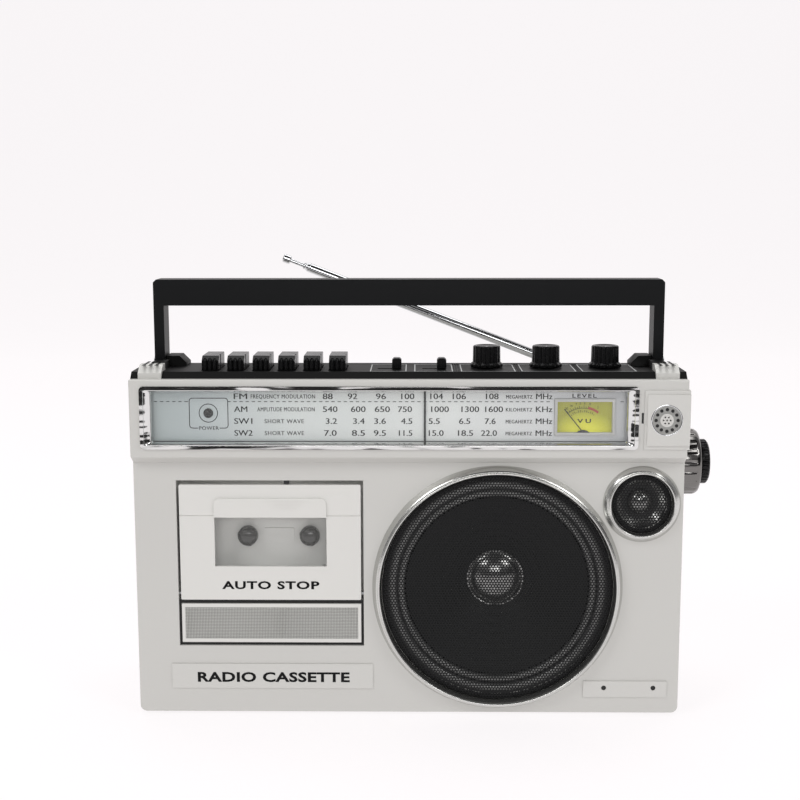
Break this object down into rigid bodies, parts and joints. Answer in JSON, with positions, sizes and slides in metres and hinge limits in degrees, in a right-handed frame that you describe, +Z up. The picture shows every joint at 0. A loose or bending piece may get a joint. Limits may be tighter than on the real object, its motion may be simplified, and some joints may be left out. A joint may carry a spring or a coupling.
{
  "type": "portable radio cassette player",
  "caption": "Portable radio cassette player with fold-down carry handle, piano keys, tuning dial, cassette bay, loudspeakers and telescopic antenna.",
  "frame": {"origin": "on the surface under the feet, below the middle of the cabinet", "axes": "+X to the right seen from the front, +Y to the back, +Z up"},
  "size_m": [0.3921, 0.124, 0.3106],
  "materials": {
    "silver_abs": "satin silver-sprayed ABS",
    "black_abs": "glossy black ABS",
    "matte_black": "matte black moulding",
    "chrome": "bright chrome",
    "clear": "clear moulded window",
    "smoke": "grey transparent moulding",
    "steel": "plated steel",
    "grille": "black perforated steel",
    "rubber": "rubber",
    "paper": "black paper pulp",
    "aluminium": "satin aluminium",
    "board": "phenolic board and parts",
    "meter": "printed meter face"
  },
  "bodies": {
    "cabinet": {"front_cabinet": "silver_abs", "rear_cabinet": "silver_abs", "dial_fascia": "silver_abs", "dial_bezel": "chrome", "dial_window": "clear", "dial_plate": "aluminium", "vu_meter_case": "meter", "power_lamp": "smoke", "microphone": "silver_abs", "top_deck": "black_abs", "deck_end_caps": "chrome", "cassette_well": "silver_abs", "lower_panel": "silver_abs", "mechanism_plate": "steel", "drive_motor": "steel", "belt_and_dial_cord": "rubber", "shafts_and_pins": "steel", "speaker_trim_rings": "chrome", "speaker_grilles": "grille", "speaker_drivers": "steel", "front_plates": "aluminium", "circuit_boards": "board", "battery_contacts": "steel", "sockets": "matte_black", "ferrite_aerial": "board", "fixing_screws": "steel", "rubber_feet": "rubber"},
    "pointer": {"dial_pointer": "black_abs"},
    "drum": {"dial_drum": "matte_black"},
    "meter_needle": {"vu_meter_needle": "matte_black"},
    "function_slider": {"function_switch": "black_abs"},
    "band_slider": {"band_switch": "black_abs"},
    "volume": {"volume_knob": "black_abs"},
    "bass": {"bass_knob": "black_abs"},
    "treble": {"treble_knob": "black_abs"},
    "tuning": {"tuning_knob": "chrome"},
    "fine_tuning": {"fine_tuning_knob": "black_abs"},
    "handle": {"carry_handle": "black_abs"},
    "antenna_base": {"antenna_turret": "chrome"},
    "antenna_outer": {"antenna_tube": "chrome"},
    "antenna_mid": {"antenna_middle_section": "chrome"},
    "antenna_tip": {"antenna_tip_rod": "chrome"},
    "door": {"cassette_door": "silver_abs", "door_window": "smoke", "cassette_holder": "matte_black"},
    "supply": {"supply_spindle": "matte_black"},
    "takeup": {"takeup_spindle": "matte_black"},
    "capstan": {"capstan_flywheel": "steel"},
    "roller_arm": {"pinch_arm": "steel"},
    "roller": {"pinch_roller": "rubber"},
    "heads": {"head_plate": "steel"},
    "pulley": {"motor_pulley": "steel"},
    "cone": {"woofer_cone": "paper"},
    "battery_cover": {"battery_door": "silver_abs"},
    "key_pause": {"key_pause": "black_abs"},
    "key_stop": {"key_stop": "black_abs"},
    "key_forward": {"key_forward": "black_abs"},
    "key_rewind": {"key_rewind": "black_abs"},
    "key_play": {"key_play": "black_abs"},
    "key_record": {"key_record": "black_abs"}
  },
  "joints": [
    {"name": "antenna_swivel", "type": "hinge", "parent": "cabinet", "child": "antenna_base", "pos_m": [0.103, 0.048, 0.2326], "axis": [0, 0, 1], "range_deg": [-180, 0]},
    {"name": "antenna_tilt", "type": "hinge", "parent": "antenna_base", "child": "antenna_outer", "pos_m": [0.103, 0.048, 0.2326], "axis": [0, 1, 0], "range_deg": [-21.1, 68.9]},
    {"name": "antenna_telescope", "type": "slide", "parent": "antenna_outer", "child": "antenna_mid", "axis": [-0.933, 0, 0.36], "range_m": [0, 0.125]},
    {"name": "antenna_tip_slide", "type": "slide", "parent": "antenna_mid", "child": "antenna_tip", "axis": [-0.933, 0, 0.36], "range_m": [-0.0095, 0.105]},
    {"name": "volume_knob_turn", "type": "hinge", "parent": "cabinet", "child": "volume", "pos_m": [0.053, -0.032, 0.2376], "axis": [0, 0, 1], "range_deg": [-150, 150]},
    {"name": "bass_knob_turn", "type": "hinge", "parent": "cabinet", "child": "bass", "pos_m": [0.093, -0.032, 0.2376], "axis": [0, 0, 1], "range_deg": [-150, 150]},
    {"name": "treble_knob_turn", "type": "hinge", "parent": "cabinet", "child": "treble", "pos_m": [0.133, -0.032, 0.2376], "axis": [0, 0, 1], "range_deg": [-150, 150]},
    {"name": "battery_door_open", "type": "hinge", "parent": "cabinet", "child": "battery_cover", "pos_m": [-0.065, 0.05575, 0.0204], "axis": [-1, 0, 0], "range_deg": [0, 95]},
    {"name": "band_switch_slide", "type": "slide", "parent": "cabinet", "child": "band_slider", "axis": [1, 0, 0], "range_m": [-0.011, 0]},
    {"name": "function_switch_slide", "type": "slide", "parent": "cabinet", "child": "function_slider", "axis": [1, 0, 0], "range_m": [-0.011, 0]},
    {"name": "carry_handle_swing", "type": "hinge", "parent": "cabinet", "child": "handle", "pos_m": [0, -0.018, 0.238], "axis": [-1, 0, 0], "range_deg": [0, 90]},
    {"name": "cassette_door_open", "type": "hinge", "parent": "cabinet", "child": "door", "pos_m": [-0.09295, -0.053, 0.085], "axis": [1, 0, 0], "range_deg": [0, 32]},
    {"name": "key_pause_press", "type": "hinge", "parent": "cabinet", "child": "key_pause", "pos_m": [-0.1322, -0.0145, 0.229], "axis": [1, 0, 0], "range_deg": [0, 6], "stiffness_Nm_per_rad": 1.2},
    {"name": "key_stop_press", "type": "hinge", "parent": "cabinet", "child": "key_stop", "pos_m": [-0.1152, -0.0145, 0.229], "axis": [1, 0, 0], "range_deg": [0, 6], "stiffness_Nm_per_rad": 1.2},
    {"name": "key_forward_press", "type": "hinge", "parent": "cabinet", "child": "key_forward", "pos_m": [-0.0982, -0.0145, 0.229], "axis": [1, 0, 0], "range_deg": [0, 6], "stiffness_Nm_per_rad": 1.2},
    {"name": "key_rewind_press", "type": "hinge", "parent": "cabinet", "child": "key_rewind", "pos_m": [-0.0812, -0.0145, 0.229], "axis": [1, 0, 0], "range_deg": [0, 6], "stiffness_Nm_per_rad": 1.2},
    {"name": "key_play_press", "type": "hinge", "parent": "cabinet", "child": "key_play", "pos_m": [-0.0642, -0.0145, 0.229], "axis": [1, 0, 0], "range_deg": [0, 6], "stiffness_Nm_per_rad": 1.2},
    {"name": "key_record_press", "type": "hinge", "parent": "cabinet", "child": "key_record", "pos_m": [-0.0472, -0.0145, 0.229], "axis": [1, 0, 0], "range_deg": [0, 6], "stiffness_Nm_per_rad": 1.2},
    {"name": "head_plate_advance", "type": "slide", "parent": "cabinet", "child": "heads", "axis": [0, 0, 1], "range_m": [0, 0.004]},
    {"name": "pinch_arm_swing", "type": "hinge", "parent": "cabinet", "child": "roller_arm", "pos_m": [-0.044, -0.04075, 0.086], "axis": [0, 1, 0], "range_deg": [0, 12]},
    {"name": "pinch_roller_spin", "type": "hinge", "parent": "roller_arm", "child": "roller", "pos_m": [-0.058, -0.04525, 0.0875], "axis": [0, 1, 0], "continuous": true},
    {"name": "motor_spin", "type": "hinge", "parent": "cabinet", "child": "pulley", "pos_m": [-0.128, -0.003, 0.08], "axis": [0, 1, 0], "continuous": true},
    {"name": "capstan_spin", "type": "hinge", "parent": "cabinet", "child": "capstan", "pos_m": [-0.058, -0.003, 0.098], "axis": [0, 1, 0], "continuous": true},
    {"name": "takeup_spin", "type": "hinge", "parent": "cabinet", "child": "takeup", "pos_m": [-0.06755, -0.042, 0.12175], "axis": [0, 1, 0], "continuous": true},
    {"name": "supply_spin", "type": "hinge", "parent": "cabinet", "child": "supply", "pos_m": [-0.11005, -0.042, 0.12175], "axis": [0, 1, 0], "continuous": true},
    {"name": "tuning_knob_turn", "type": "hinge", "parent": "cabinet", "child": "tuning", "pos_m": [0.194, -0.012, 0.1685], "axis": [1, 0, 0], "range_deg": [-660, 1045]},
    {"name": "fine_tuning_turn", "type": "hinge", "parent": "cabinet", "child": "fine_tuning", "pos_m": [0.205, -0.012, 0.1685], "axis": [1, 0, 0], "range_deg": [-60, 60]},
    {"name": "dial_pointer_slide", "type": "slide", "parent": "cabinet", "child": "pointer", "axis": [1, 0, 0], "range_m": [-0.073, 0.0461]},
    {"name": "dial_drum_turn", "type": "hinge", "parent": "cabinet", "child": "drum", "pos_m": [0.12, 0.006, 0.19], "axis": [0, 1, 0], "range_deg": [-140, 90]},
    {"name": "vu_needle_swing", "type": "hinge", "parent": "cabinet", "child": "meter_needle", "pos_m": [0.1157, -0.059, 0.1971], "axis": [0, 1, 0], "range_deg": [0, 78], "stiffness_Nm_per_rad": 0.00002},
    {"name": "woofer_cone_stroke", "type": "slide", "parent": "cabinet", "child": "cone", "axis": [0, 1, 0], "range_m": [-0.0015, 0.0015], "stiffness_N_per_m": 900}
  ],
  "couplings": [
    {"joint": "head_plate_advance", "follows": "key_play_press", "m_per_rad": 0.038197},
    {"joint": "pinch_arm_swing", "follows": "key_play_press", "ratio": 2},
    {"joint": "motor_spin", "follows": "capstan_spin", "ratio": 3.4},
    {"joint": "takeup_spin", "follows": "capstan_spin", "ratio": -0.12},
    {"joint": "dial_pointer_slide", "follows": "tuning_knob_turn", "m_per_rad": -0.004},
    {"joint": "dial_drum_turn", "follows": "tuning_knob_turn", "ratio": -0.13333}
  ]
}
